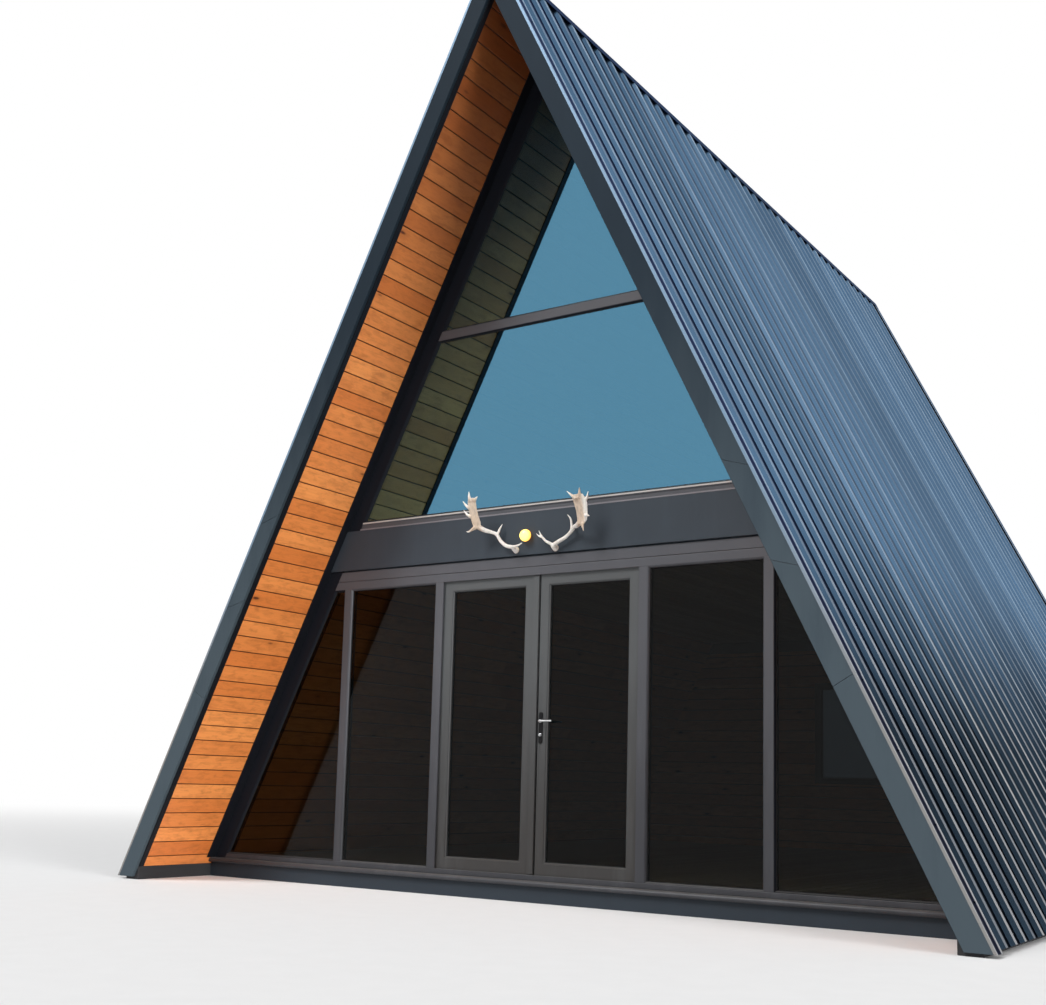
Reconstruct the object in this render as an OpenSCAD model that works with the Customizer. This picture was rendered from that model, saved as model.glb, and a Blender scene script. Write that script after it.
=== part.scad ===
// A-frame cabin: steep ribbed metal roof down to the ground, glazed front set back under a boarded
// overhang, and a pair of glazed doors that open inwards.
// Millimetres, +Z up, front towards -Y, origin at the middle of the footprint at ground level.

/* [Roof] */
// Width between the outer roof planes at ground level
roof_w = 6686; // [6300:2:7100]
// Height at which the two outer roof planes meet
ridge_h = 6680; // [6400:10:7000]
// Number of rib bays from gable to gable
rib_bays = 40; // [32:1:44]
// Spacing of the ribs in the roof sheets
rib_pitch = 200; // [180:5:220]
// Height of a rib above the flat pan
rib_h = 24; // [18:1:36]
// Width of a rib's flat top
rib_crest_w = 42; // [30:1:60]
// Width of a rib at its base
rib_base_w = 84; // [76:1:120]
// Thickness of the roof sheet
sheet_t = 2; // [1:0.5:3]
// Whole thickness of the roof, as wide as the fascia
roof_t = 148; // [120:1:180]
// Thickness of the inner board lining
lining_t = 18; // [12:1:25]
// Thickness of the fascia boards
fascia_t = 24; // [18:1:30]
// How far each wing of the ridge cap reaches over the ends of the sheets
cap_lap = 16; // [12:1:60]
// Number of rib bays that one roof sheet covers
sheet_bays = 5; // [4:1:8]
// How far the roof stands out in front of the glazed wall
front_overhang = 778; // [500:2:1000]
// How far the roof stands out behind the rear wall
rear_overhang = 400; // [250:10:600]

/* [Glazed front] */
// Depth of the window and door frames
frame_d = 80; // [70:1:100]
// Width of the slanted rafter and stile together, square to the slope
rafter_w = 111; // [90:1:140]
// Height of the bottom member's lower edge
sill_top = 150; // [130:1:170]
// Height of the top of the bottom member, where the glass starts
glass_z0 = 186; // [176:1:200]
// Height of the underside of the head
head_z0 = 2286; // [2200:2:2350]
// Height of the groove line in the head
head_groove_z = 2348; // [2330:2:2400]
// Height of the top of the head
head_z1 = 2424; // [2404:2:2440]
// Height of the band's lower edge
band_z0 = 2434; // [2434:1:2450]
// Height of the band's upper edge
band_z1 = 2746; // [2700:2:2800]
// Height of the upper glazing's lower edge
gable_glass_z = 2810; // [2802:2:2860]
// Height of the transom's lower edge
transom_z0 = 4178; // [3900:2:4400]
// Height of the transom
transom_h = 69; // [50:1:90]
// Half the clear width between the door jambs
door_half_w = 830; // [780:2:880]
// Face width of the inner mullions, which are the door jambs
mullion_in_w = 70; // [60:1:90]
// Distance of the outer mullions from the middle
mullion_out_x = 1740; // [1600:2:1800]
// Face width of the outer mullions
mullion_out_w = 65; // [50:1:80]
// Thickness of the glass units
glass_t = 24; // [20:1:28]
// Distance of the glass behind the frame's face
glass_set = 20; // [12:1:30]

/* [Doors] */
// Thickness of a door leaf
leaf_t = 60; // [54:1:60]
// Where the left leaf ends, measured from the middle
leaf_left_end = 17; // [12:1:18]
// Where the right leaf ends, measured from the middle
leaf_right_end = 30; // [29:1:36]
// Inner end of both door panes, measured from the middle
pane_in_x = 97; // [90:1:110]
// Outer end of both door panes, measured from the middle
pane_out_x = 755; // [700:1:760]
// Height of the lower edge of the door panes
pane_z0 = 264; // [240:1:320]
// Height of the upper edge of the door panes
pane_z1 = 2218; // [2150:1:2222]
// Width of the cover strip on the left leaf
strip_w = 49; // [40:1:49]
// Height of the lever above the ground
lever_z = 1247; // [1150:1:1300]
// Length of the lever's grip
lever_len = 104; // [95:1:125]

/* [Floors and rear wall] */
// Height of the sole beams that carry the roof
sole_h = 100; // [80:2:110]
// Height of the plinth boards
plinth_h = 112; // [110:1:120]
// Height of the floor boards of the ground floor
floor_z = 165; // [150:1:168]
// Number of joists under the ground floor
joist_count = 12; // [8:1:14]
// Height of the loft floor
loft_z = 2720; // [2700:1:2740]
// Thickness of the loft floor
loft_t = 160; // [120:5:200]
// Thickness of the rear wall
rear_wall_t = 100; // [90:5:140]

/* [Hidden] */

// Slope of the roof and the places that follow from it
slope = atan2(ridge_h, roof_w / 2);
slope_len = ridge_h / sin(slope);
edge_strip = 40;
roof_len = rib_bays * rib_pitch + 2 * edge_strip;
y_front = -roof_len / 2;
y_rear = roof_len / 2;
wall_y = y_front + front_overhang;
rear_y = y_rear - rear_overhang;
deck_depth = rib_h + sheet_t;
lining_off = roof_t - lining_t;
stile_off = roof_t + rafter_w;
foot_gap = 20;
seat = 0.02;
butt_off = stile_off + seat;
floor_t = 30;

// Roof edge trims: the verge is thicker from its lap upwards
verge_t = 2;
verge_w = 110;
verge_lip = 14;
verge_lap_z = 1459;
cap_t = 4;

// Ends of the sheets: square cut, so their pans meet the other side's below the ridge
sheet_top_gap = deck_depth * tan(slope) + 2;
cap_wing = sheet_top_gap + cap_lap;
lap_edge = 7;
sheet_foot = 42;

// Soffit trims, proud of the boards
trim_t = 8;
end_trim_w = 67;
wall_trim_w = 84;
band_proud = 15;

// Door clearances: lip of the frame, gap behind the lip, gap round the leaf
lip_t = 14;
leaf_y = wall_y + lip_t + 6;
lap = 8;
rebate = 16;
leaf_z0 = glass_z0 - lap;
leaf_z1 = head_z0 + lap;
leaf_edge = door_half_w + lap;
strip_t = 9;
strip_gap = 6;

// Hinges: knuckle radius, pin radius, running clearance and heights
knuckle_r = 8;
knuckle_h = 40;
pin_r = 5;
pin_play = 0.06;
hinge_x = door_half_w + 12;
hinge_y = leaf_y + leaf_t + 10;
hinge_z = [420, 1240, 2060];
plate_t = 4;
plate_len = 34;

// Handle: spindle, long plates and lever
spindle_x = 56;
spindle_r = 6;
spindle_play = 0.06;
plate_w = 30;
plate_h = 220;
plate_drop = 157;
handle_plate_t = 8;
lock_drop = 96;
lock_r = 9;
lock_len = 14;
grip_r = 9;
neck_len = 34;

// Antlers and lamp on the band: roots of the antlers, how far the left one is turned up, the lamp
band_face_y = wall_y - band_proud;
root_x = 168;
root_z = 2464;
left_turn = 4;
left_lift = 10;
lamp_x = -77;
lamp_z = 2571;

function plane_x(z, off) = roof_w / 2 * (1 - z / ridge_h) - off / sin(slope);
function plane_z(x, off) = ridge_h * (1 - (x + off / sin(slope)) / (roof_w / 2));

// Draws an outline in X and Z and extrudes it from y0 to y1
module along_y(y0, y1) {
    translate([0, y1, 0]) rotate([90, 0, 0]) linear_extrude(y1 - y0) children();
}

// Draws an outline in Y and Z and extrudes it from x0 to x1
module along_x(x0, x1) {
    translate([x0, 0, 0]) rotate([90, 0, 90]) linear_extrude(x1 - x0) children();
}

module box(lo, hi) {
    translate(lo) cube(hi - lo);
}

// The left side is the right side mirrored
module side(left) {
    if (left) mirror([1, 0, 0]) children();
    else children();
}

// Right-hand layer of the roof between two depths below the outer plane
module slope_layer(off_a, off_b, foot, y0, y1) {
    along_y(y0, y1)
        polygon([
            [plane_x(foot, off_a), foot],
            [0, plane_z(0, off_a)],
            [0, plane_z(0, off_b)],
            [plane_x(foot, off_b), foot]
        ]);
}

// Level slice of the gable between two heights, cut to the slope at depth off
module gable_slice(z0, z1, off, y0, y1) {
    along_y(y0, y1)
        polygon([
            [-plane_x(z0, off), z0],
            [plane_x(z0, off), z0],
            [plane_x(z1, off), z1],
            [-plane_x(z1, off), z1]
        ]);
}

// Level member that fills the width between the sole beams, and above them between the slopes
module foot_outline(top) {
    polygon([
        [-plane_x(sole_h, roof_t), 0],
        [plane_x(sole_h, roof_t), 0],
        [plane_x(sole_h, roof_t), sole_h],
        [plane_x(top, roof_t), top],
        [-plane_x(top, roof_t), top],
        [-plane_x(sole_h, roof_t), sole_h]
    ]);
}

// Places children on the right-hand slope: X is outwards, Y along the ridge, Z up the slope
module on_slope() {
    translate([roof_w / 2, 0, 0]) rotate([0, slope - 90, 0]) children();
}

module sole_beams() {
    color("#2b2c2e")
        for (left = [false, true])
            side(left)
                box([plane_x(sole_h, roof_t), y_front + fascia_t, 0],
                    [plane_x(sole_h, deck_depth + seat), y_rear - fascia_t, sole_h]);
}

module floor_joists() {
    joist_w = 45;
    run = rear_y - rear_wall_t - (wall_y + frame_d) - 2 * joist_w;
    step = run / (joist_count - 1);
    color("#8a7152")
        for (i = [0:joist_count - 1])
            translate([0, wall_y + frame_d + joist_w / 2 + i * step, 0])
                along_y(0, joist_w) foot_outline(floor_z - floor_t);
}

module floor_deck() {
    color("#a98458")
        gable_slice(floor_z - floor_t, floor_z, roof_t, wall_y + frame_d, rear_y - rear_wall_t);
}

module loft_floor() {
    color("#a98458")
        gable_slice(loft_z - loft_t, loft_z, roof_t, wall_y + frame_d + 17, rear_y - rear_wall_t);
}

module roof_panel(left) {
    color("#3a3b3d")
        side(left)
            slope_layer(deck_depth + seat, lining_off - seat, sole_h,
                y_front + fascia_t, y_rear - fascia_t);
}

module roof_lining(left) {
    color("#b5672f")
        side(left) slope_layer(lining_off, roof_t, sole_h, y_front + fascia_t, y_rear - fascia_t);
}

// Trapezoidal rib between its two feet, crest is the height of its flat top
function rib(i, foot, crest) = let (c = y_front + edge_strip + i * rib_pitch) [
    [foot, c - rib_base_w / 2],
    [crest, c - rib_crest_w / 2],
    [crest, c + rib_crest_w / 2],
    [-rib_h, c + rib_base_w / 2]
];

// Where two sheets lap, the next one's edge lies in the pan and its rib covers the one below
function lap_rib(i) =
    let (edge = y_front + edge_strip + i * rib_pitch - rib_base_w / 2 - lap_edge)
    concat([[-rib_h, edge], [sheet_t - rib_h, edge]], rib(i, sheet_t - rib_h, 0));

// Outer face of the sheets, and their inner face one sheet thickness below
sheet_top = concat(
    [[0, y_front + fascia_t]],
    [for (j = [2:3]) rib(0, -rib_h, 0)[j]],
    [for (i = [1:rib_bays - 1]) each i % sheet_bays == 0 ? lap_rib(i) : rib(i, -rib_h, -sheet_t)],
    [for (j = [0:1]) rib(rib_bays, -rib_h, 0)[j]],
    [[0, y_rear - fascia_t]]
);
sheet_under = concat(
    [[0, y_front + fascia_t]],
    [for (j = [2:3]) rib(0, -rib_h, 0)[j]],
    [for (i = [1:rib_bays - 1]) each rib(i, -rib_h, -sheet_t)],
    [for (j = [0:1]) rib(rib_bays, -rib_h, 0)[j]],
    [[0, y_rear - fascia_t]]
);
sheet_outline = concat(
    sheet_top,
    [for (i = [len(sheet_under) - 1:-1:0]) sheet_under[i] - [sheet_t, 0]]
);

module roof_sheet(left) {
    color("#4a5866")
        side(left) on_slope()
            translate([0, 0, sheet_foot])
                linear_extrude(slope_len - sheet_top_gap - sheet_foot) polygon(sheet_outline);
}

// Folded cap on the rib tops, thinner at its ends where it laps over the verge trims
module cap_fold(off_a, off_b, y0, y1) {
    z0 = ridge_h - cap_wing * sin(slope);
    for (left = [false, true])
        side(left) along_y(y0, y1)
            polygon([
                [plane_x(z0, off_a), z0],
                [0, plane_z(0, off_a)],
                [0, plane_z(0, off_b)],
                [plane_x(z0, off_b), z0]
            ]);
}

module ridge_cap() {
    color("#45525e") {
        cap_fold(-cap_t, -seat, y_front + verge_w + seat, y_rear - verge_w - seat);
        cap_fold(-cap_t, -verge_t - seat, y_front - verge_t, y_front + verge_w + seat);
        cap_fold(-cap_t, -verge_t - seat, y_rear - verge_w - seat, y_rear + verge_t);
    }
}

// One length of the angle trim over a gable edge: a wing on the rib tops, a lip over the fascia
module verge_length(t, foot) {
    slope_layer(-t, -seat, foot, y_front - t, y_front + verge_w);
    slope_layer(-seat, verge_lip, foot, y_front - t, y_front);
}

// The upper length laps over the lower one
module verge(left) {
    color("#55636f")
        for (rear = [false, true])
            side(left) mirror([0, rear ? 1 : 0, 0]) {
                verge_length(verge_t / 2, foot_gap);
                verge_length(verge_t, verge_lap_z);
            }
}

module fascia(left, rear) {
    color("#4b5158")
        side(left) mirror([0, rear ? 1 : 0, 0])
            slope_layer(0, roof_t, foot_gap, y_front, y_front + fascia_t);
}

// Black strips on the soffits: one behind each fascia, one against each gable wall
module soffit_trim(left) {
    strip_foot = [sole_h, sill_top, plinth_h, sole_h];
    strip_y0 = [y_front + fascia_t, wall_y - wall_trim_w, rear_y, y_rear - end_trim_w];
    strip_y1 = [y_front + end_trim_w, wall_y, rear_y + wall_trim_w, y_rear - fascia_t];
    color("#17181a")
        side(left)
            for (i = [0:3])
                slope_layer(roof_t, roof_t + trim_t, strip_foot[i], strip_y0[i], strip_y1[i]);
}

module front_plinth() {
    color("#343b42") along_y(wall_y - 10, wall_y + frame_d) foot_outline(plinth_h);
}

// Sill board with a rounded nose
module front_sill() {
    sill_t = sill_top - plinth_h;
    nose_y = wall_y - 50 + sill_t / 2;
    color("#474d54")
        intersection() {
            along_x(-roof_w / 2, roof_w / 2) {
                translate([nose_y, plinth_h + sill_t / 2]) circle(d = sill_t, $fn = 48);
                translate([nose_y, plinth_h]) square([wall_y + frame_d - nose_y, sill_t]);
            }
            gable_slice(plinth_h, sill_top, roof_t, wall_y - 60, wall_y + frame_d);
        }
}

// Slanted member of the glazed wall, standing on the sill
module gable_rafter(left) {
    color("#2a2d31") side(left) slope_layer(roof_t, stile_off, sill_top, wall_y, wall_y + frame_d);
}

// Pocket of the door leaves behind the frame's lip
module door_pocket() {
    box([-door_half_w - rebate, wall_y + lip_t, glass_z0 - rebate],
        [door_half_w + rebate, wall_y + frame_d + 1, head_z0 + rebate]);
}

module frame_bottom() {
    color("#50565c")
        difference() {
            gable_slice(sill_top, glass_z0, butt_off, wall_y, wall_y + frame_d);
            door_pocket();
        }
}

module frame_head() {
    groove = 4;
    color("#50565c")
        difference() {
            gable_slice(head_z0, head_z1, butt_off, wall_y, wall_y + frame_d);
            door_pocket();
            box([-roof_w / 2, wall_y - 1, head_groove_z - groove / 2],
                [roof_w / 2, wall_y + 6, head_groove_z + groove / 2]);
        }
}

module mullions() {
    color("#50565c")
        for (left = [false, true]) side(left) {
            difference() {
                box([door_half_w, wall_y, glass_z0],
                    [door_half_w + mullion_in_w, wall_y + frame_d, head_z0]);
                door_pocket();
            }
            box([mullion_out_x, wall_y, glass_z0],
                [mullion_out_x + mullion_out_w, wall_y + frame_d, head_z0]);
        }
}

// Tall band at storey height: a face board from soffit to soffit and the beam behind it
module band() {
    color("#3d444c") {
        gable_slice(band_z0, band_z1, roof_t + trim_t, band_face_y, wall_y);
        gable_slice(band_z0, band_z1, butt_off, wall_y, wall_y + frame_d + 17);
        gable_slice(head_z1, band_z0, butt_off, wall_y + 20, wall_y + frame_d + 17);
    }
}

// Bottom member of the upper glazing, its face hollow between two noses
module gable_sill() {
    nose = 18;
    hollow = 6;
    color("#50565c")
        difference() {
            gable_slice(band_z1, gable_glass_z, butt_off, wall_y, wall_y + frame_d);
            box([-roof_w / 2, wall_y - 1, band_z1 + nose],
                [roof_w / 2, wall_y + hollow, gable_glass_z - nose]);
        }
}

module gable_transom() {
    color("#50565c")
        gable_slice(transom_z0, transom_z0 + transom_h, butt_off, wall_y, wall_y + frame_d);
}

module glass_box(x0, x1) {
    box([x0, wall_y + glass_set, glass_z0], [x1, wall_y + glass_set + glass_t, head_z0]);
}

// Slanted pane and upright pane of each side
module ground_glass() {
    out_x = mullion_out_x + mullion_out_w;
    color([0.2, 0.24, 0.26, 0.5])
        for (left = [false, true]) side(left) {
            glass_box(door_half_w + mullion_in_w, mullion_out_x);
            along_y(wall_y + glass_set, wall_y + glass_set + glass_t)
                polygon([
                    [out_x, glass_z0],
                    [plane_x(glass_z0, butt_off), glass_z0],
                    [plane_x(head_z0, butt_off), head_z0],
                    [out_x, head_z0]
                ]);
        }
}

module gable_glass() {
    color([0.2, 0.24, 0.26, 0.5]) {
        gable_slice(gable_glass_z, transom_z0, butt_off,
            wall_y + glass_set, wall_y + glass_set + glass_t);
        gable_slice(transom_z0 + transom_h, plane_z(0, butt_off), butt_off,
            wall_y + glass_set, wall_y + glass_set + glass_t);
    }
}

// Rear windows: sill height, head height and half width of each
lower_win = [900, 2050, 600];
upper_win = [3150, 4150, 450];
rear_frame_w = 60;

module rear_hole(win, inset) {
    box([-win[2] + inset, rear_y - rear_wall_t - 5, win[0] + inset],
        [win[2] - inset, rear_y + 20, win[1] - inset]);
}

module rear_plinth() {
    color("#343b42") along_y(rear_y - rear_wall_t, rear_y + 10) foot_outline(plinth_h);
}

module rear_wall_lower() {
    color("#b5672f")
        difference() {
            gable_slice(plinth_h, band_z0, roof_t, rear_y - rear_wall_t, rear_y);
            rear_hole(lower_win, 0);
        }
}

module rear_band() {
    color("#3d444c") {
        gable_slice(band_z0, band_z1, roof_t, rear_y - rear_wall_t, rear_y);
        gable_slice(band_z0, band_z1, roof_t + trim_t, rear_y, rear_y + band_proud);
    }
}

module rear_wall_upper() {
    color("#b5672f")
        difference() {
            gable_slice(band_z1, plane_z(0, roof_t), roof_t, rear_y - rear_wall_t, rear_y);
            rear_hole(upper_win, 0);
        }
}

module rear_windows() {
    color("#50565c")
        for (win = [lower_win, upper_win])
            difference() {
                box([-win[2], rear_y - rear_wall_t + 20, win[0]], [win[2], rear_y + 8, win[1]]);
                rear_hole(win, rear_frame_w);
            }
}

module rear_glass() {
    color([0.2, 0.24, 0.26, 0.5])
        for (win = [lower_win, upper_win])
            box([-win[2] + rear_frame_w, rear_y - 40, win[0] + rear_frame_w],
                [win[2] - rear_frame_w, rear_y - 40 + glass_t, win[1] - rear_frame_w]);
}

// Jamb half of each hinge: plate, knuckle and the pin that stands up out of it
module jamb_hinges() {
    color("#9a9da0")
        for (left = [false, true], z = hinge_z)
            side(left) {
                box([door_half_w + rebate + 1, wall_y + frame_d, z],
                    [door_half_w + rebate + plate_len, wall_y + frame_d + plate_t, z + knuckle_h]);
                box([hinge_x, wall_y + frame_d, z],
                    [door_half_w + rebate + 2, hinge_y, z + knuckle_h]);
                translate([hinge_x, hinge_y, z]) cylinder(r = knuckle_r, h = knuckle_h, $fn = 48);
                translate([hinge_x, hinge_y, z]) cylinder(r = pin_r, h = 2 * knuckle_h, $fn = 48);
            }
}

// Leaf half of each hinge: plate and knuckle with the bore that turns on the pin
module leaf_hinges() {
    for (z = hinge_z)
        difference() {
            union() {
                box([leaf_edge - plate_len, leaf_y + leaf_t, z + knuckle_h + 1],
                    [leaf_edge - 1, leaf_y + leaf_t + plate_t, z + 2 * knuckle_h]);
                box([leaf_edge - 2, leaf_y + leaf_t, z + knuckle_h + 1],
                    [hinge_x, hinge_y, z + 2 * knuckle_h]);
                translate([hinge_x, hinge_y, z + knuckle_h + 1])
                    cylinder(r = knuckle_r, h = knuckle_h - 1, $fn = 48);
            }
            translate([hinge_x, hinge_y, z])
                cylinder(r = pin_r + pin_play, h = 3 * knuckle_h, $fn = 48);
        }
}

// Glazed leaf on the right-hand jamb, its pane left out; end_x is its free edge
module leaf_frame(end_x) {
    difference() {
        box([end_x, leaf_y, leaf_z0], [leaf_edge, leaf_y + leaf_t, leaf_z1]);
        box([pane_in_x, leaf_y - 1, pane_z0], [pane_out_x, leaf_y + leaf_t + 1, pane_z1]);
    }
    leaf_hinges();
}

module door_left_leaf() {
    color("#565c62") {
        side(true) leaf_frame(-leaf_left_end);
        box([leaf_left_end - strip_w, leaf_y - strip_t, glass_z0 + strip_gap],
            [leaf_left_end, leaf_y, head_z0 - strip_gap]);
    }
}

module door_right_leaf() {
    color("#565c62")
        difference() {
            leaf_frame(leaf_right_end);
            translate([spindle_x, leaf_y - 1, lever_z])
                rotate([-90, 0, 0]) cylinder(r = spindle_r + spindle_play, h = leaf_t + 2, $fn = 48);
        }
}

module door_glass(left) {
    color([0.2, 0.24, 0.26, 0.5])
        side(left)
            box([pane_in_x, leaf_y + 16, pane_z0], [pane_out_x, leaf_y + 16 + glass_t, pane_z1]);
}

// Long plates of the handle, outside and inside, each with its cylinder lock
module handle_plates() {
    color("#2c2e31")
        for (inside = [false, true]) {
            y0 = inside ? leaf_y + leaf_t : leaf_y - handle_plate_t;
            difference() {
                box([spindle_x - plate_w / 2, y0, lever_z - plate_drop],
                    [spindle_x + plate_w / 2, y0 + handle_plate_t, lever_z - plate_drop + plate_h]);
                translate([spindle_x, y0 - 1, lever_z])
                    rotate([-90, 0, 0]) cylinder(r = spindle_r + 5, h = handle_plate_t + 2, $fn = 48);
            }
            translate([spindle_x, inside ? y0 + handle_plate_t : y0 - lock_len, lever_z - lock_drop])
                rotate([-90, 0, 0]) cylinder(r = lock_r, h = lock_len, $fn = 48);
        }
}

// Lever pair on one spindle
module door_lever() {
    reach = handle_plate_t + neck_len;
    color("#c9ccce") {
        translate([spindle_x, leaf_y - reach, lever_z])
            rotate([-90, 0, 0]) cylinder(r = spindle_r, h = leaf_t + 2 * reach, $fn = 48);
        for (y = [leaf_y - reach, leaf_y + leaf_t + reach])
            translate([spindle_x, y, lever_z]) {
                sphere(r = grip_r, $fn = 48);
                rotate([0, 90, 0]) cylinder(r = grip_r, h = lever_len, $fn = 48);
                translate([lever_len, 0, 0]) sphere(r = grip_r, $fn = 48);
            }
    }
}

// One antler bar between two points with end radii
module bone(a, b, ra, rb) {
    hull() {
        translate(a) sphere(r = ra, $fn = 10);
        translate(b) sphere(r = rb, $fn = 10);
    }
}

// Chain of bars through points of the form [x, y, z, radius]
module limb(run) {
    for (i = [0:len(run) - 2])
        bone([for (k = [0:2]) run[i][k]], [for (k = [0:2]) run[i + 1][k]], run[i][3], run[i + 1][3]);
}

// Right antler from its root, X outwards: beam, brow tines, small tine, palm and the palm's tines
beam = [[0, -20, 0, 19], [4, -36, 12, 15], [52, -36, 40, 14], [108, -36, 66, 13], [157, -44, 102, 13],
    [190, -60, 126, 14], [224, -84, 126, 17], [262, -106, 142, 18]];
brow_long = [[4, -40, 12, 13], [-62, -50, 52, 9], [-116, -50, 128, 4]];
brow_fork = [[-76, -50, 72, 8], [-136, -50, 108, 4]];
brow_short = [[4, -40, 12, 13], [-58, -54, 30, 8], [-88, -56, 44, 4]];
small = [[154, -44, 100, 11], [150, -38, 170, 8], [109, -32, 224, 4]];
palm_in = [[240, -94, 126], [254, -116, 165], [262, -136, 216], [259, -156, 257], [262, -176, 306]];
palm_out = [[294, -126, 122], [330, -138, 152], [342, -154, 210], [350, -168, 258], [334, -180, 298]];
tines = [
    [[290, -124, 130, 14], [313, -140, 69, 4]],
    [[330, -148, 176, 12], [368, -150, 172, 4]],
    [[336, -166, 262, 12], [359, -166, 342, 4]],
    [[300, -178, 294, 14], [302, -188, 368, 4]],
    [[272, -178, 292, 13], [198, -188, 353, 4]]
];

module antler(left) {
    palm_r = 9;
    translate([0, -seat, 0]) rotate([90, 0, 0]) cylinder(r = 26, h = 12, $fn = 24);
    limb(beam);
    limb(small);
    if (left) limb(brow_short);
    else {
        limb(brow_long);
        limb(brow_fork);
    }
    for (tine = tines) limb(tine);
    for (i = [0:len(palm_in) - 2])
        hull()
            for (p = [palm_in[i], palm_out[i], palm_in[i + 1], palm_out[i + 1]])
                translate(p) sphere(r = palm_r, $fn = 10);
}

module antlers() {
    color("#d9cfbd") {
        translate([root_x, band_face_y, root_z]) antler(false);
        translate([-root_x, band_face_y, root_z + left_lift])
            rotate([0, left_turn, 0]) mirror([1, 0, 0]) antler(true);
    }
}

// Small round lamp on the band: a base and a domed glass
module wall_light() {
    base_r = 32;
    base_h = 14;
    dome_r = 44;
    dome_h = 48;
    color("#e8c860")
        translate([lamp_x, band_face_y, lamp_z]) rotate([90, 0, 0]) {
            cylinder(r = base_r, h = base_h, $fn = 48);
            translate([0, 0, base_h])
                rotate_extrude($fn = 48)
                    intersection() {
                        square([dome_r, dome_h]);
                        translate([0, dome_h - dome_r]) circle(r = dome_r, $fn = 64);
                    }
        }
}

sole_beams();
floor_joists();
floor_deck();
loft_floor();
roof_panel(true);  // roof_panel_left
roof_panel(false);  // roof_panel_right
roof_lining(true);  // roof_lining_left
roof_lining(false);  // roof_lining_right
roof_sheet(true);  // roof_sheet_left
roof_sheet(false);  // roof_sheet_right
ridge_cap();
verge(true);  // verge_left
verge(false);  // verge_right
fascia(true, false);  // front_fascia_left
fascia(false, false);  // front_fascia_right
fascia(true, true);  // rear_fascia_left
fascia(false, true);  // rear_fascia_right
soffit_trim(true);  // soffit_trim_left
soffit_trim(false);  // soffit_trim_right
front_plinth();
front_sill();
gable_rafter(true);  // gable_rafter_left
gable_rafter(false);  // gable_rafter_right
frame_bottom();
frame_head();
mullions();
band();
gable_sill();
gable_transom();
ground_glass();
gable_glass();
rear_plinth();
rear_wall_lower();
rear_band();
rear_wall_upper();
rear_windows();
rear_glass();
jamb_hinges();
antlers();
wall_light();
door_left_leaf();
door_glass(true);  // door_left_glass
door_right_leaf();
door_glass(false);  // door_right_glass
handle_plates();
door_lever();
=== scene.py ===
import math
import random

import bmesh
import bpy
from mathutils import Matrix, Vector

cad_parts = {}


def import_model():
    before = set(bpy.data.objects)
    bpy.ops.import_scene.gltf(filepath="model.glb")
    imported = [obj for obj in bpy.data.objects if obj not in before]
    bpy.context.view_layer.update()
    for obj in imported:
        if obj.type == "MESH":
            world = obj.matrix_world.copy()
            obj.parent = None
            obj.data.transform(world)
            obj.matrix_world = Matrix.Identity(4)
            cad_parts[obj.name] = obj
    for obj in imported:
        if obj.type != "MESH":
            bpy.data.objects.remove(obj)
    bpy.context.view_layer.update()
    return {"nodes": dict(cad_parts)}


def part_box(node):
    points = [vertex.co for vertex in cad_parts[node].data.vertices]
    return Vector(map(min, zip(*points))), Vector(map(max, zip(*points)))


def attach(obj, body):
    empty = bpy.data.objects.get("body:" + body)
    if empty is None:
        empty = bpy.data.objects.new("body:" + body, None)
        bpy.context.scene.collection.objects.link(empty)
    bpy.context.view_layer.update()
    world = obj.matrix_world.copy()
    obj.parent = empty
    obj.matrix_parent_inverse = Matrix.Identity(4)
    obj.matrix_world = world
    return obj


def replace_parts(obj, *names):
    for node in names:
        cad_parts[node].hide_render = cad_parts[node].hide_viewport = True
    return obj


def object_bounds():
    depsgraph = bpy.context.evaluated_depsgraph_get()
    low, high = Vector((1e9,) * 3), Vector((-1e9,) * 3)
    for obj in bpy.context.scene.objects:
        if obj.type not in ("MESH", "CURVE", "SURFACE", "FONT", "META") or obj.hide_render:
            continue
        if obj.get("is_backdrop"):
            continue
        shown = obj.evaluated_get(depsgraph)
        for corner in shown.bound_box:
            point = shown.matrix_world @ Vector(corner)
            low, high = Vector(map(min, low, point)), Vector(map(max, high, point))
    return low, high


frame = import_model()
NODES = frame["nodes"]

# Roof planes: half width at the ground, ridge height, and the slope that follows; then how deep the
# roof, its lining and the frame along the slopes of the glazed wall are, and where the panes meet it
HALF_W = 3.343
RIDGE_H = 6.680
SLOPE = math.atan2(RIDGE_H, HALF_W)
SIN, COS = math.sin(SLOPE), math.cos(SLOPE)
SLOPE_LEN = RIDGE_H / SIN
ROOF_T = 0.148
LINING_T = 0.018
STILE_T = 0.111
BUTT_OFF = ROOF_T + STILE_T

# Roof sheets: rib pitch and bays, plain strip at each end, depth of the pans, ribs to a sheet, its
# width, and where its edge lies beside the lap rib; then the width of the verge's wing
RIB_PITCH = 0.200
RIB_BAYS = 40
EDGE_STRIP = 0.040
PAN_OFF = 0.024
SHEET_RIBS = 5
SHEET_W = SHEET_RIBS * RIB_PITCH
LAP_EDGE = 0.049
SHEET_EDGE = EDGE_STRIP - LAP_EDGE
VERGE_W = 0.110

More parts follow.
